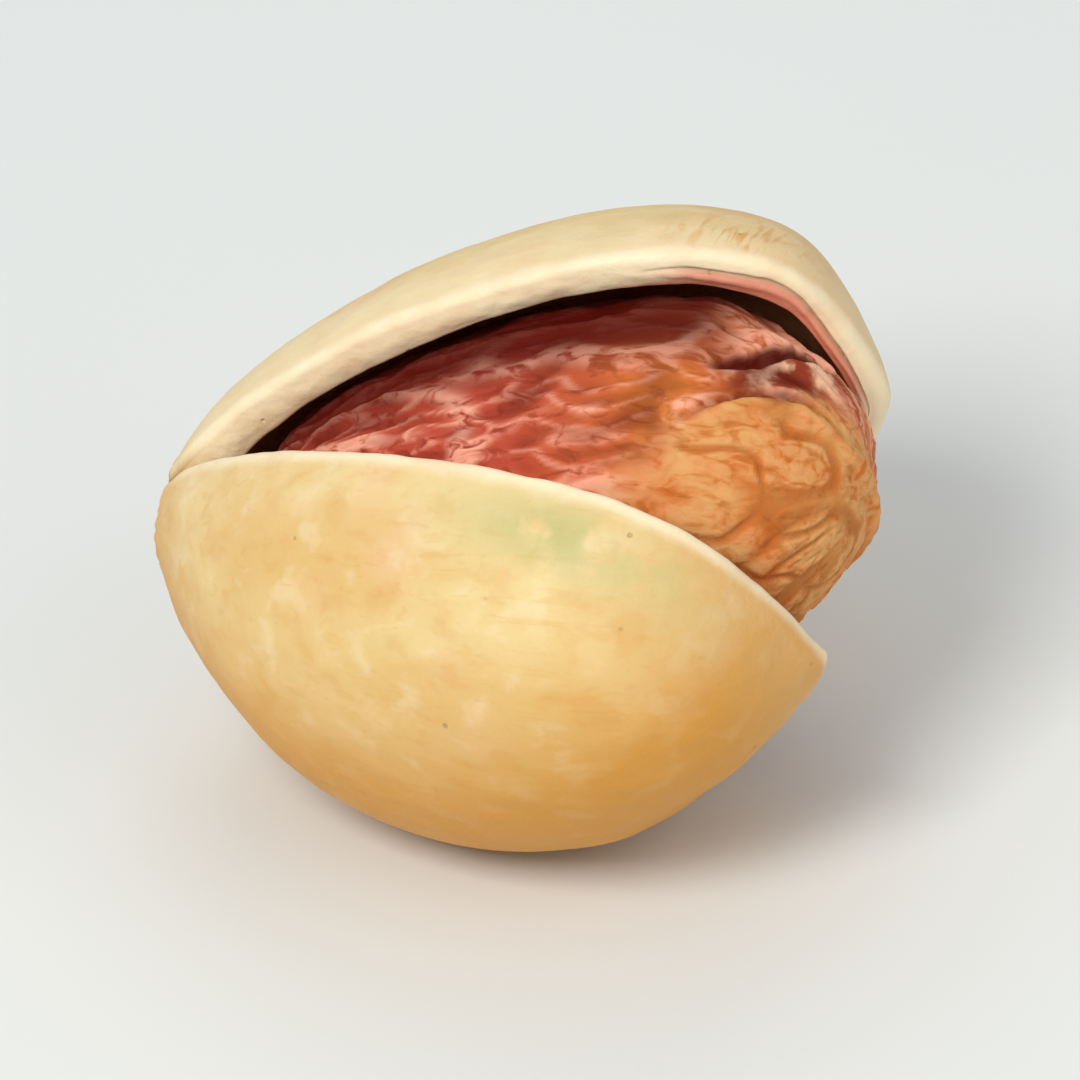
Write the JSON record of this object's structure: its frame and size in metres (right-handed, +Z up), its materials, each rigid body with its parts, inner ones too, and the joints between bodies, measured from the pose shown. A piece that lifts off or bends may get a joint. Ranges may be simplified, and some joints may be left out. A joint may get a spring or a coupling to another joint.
{
  "type": "pistachio in shell",
  "caption": "Roasted pistachio in its split woody shell, open wide at the beak end to show the kernel, lying on a small flat spot.",
  "frame": {"origin": "on the surface the nut lies on, below the centre of its bounding box", "axes": "+X along the nut from its stem end to its beak, +Z up; the split faces up and leans a little towards -Y"},
  "size_m": [0.0188, 0.017, 0.0142],
  "materials": {
    "shell": "satin",
    "kernel": "matte"
  },
  "bodies": {
    "root": {"shell": "shell", "kernel": "kernel"}
  },
  "joints": []
}
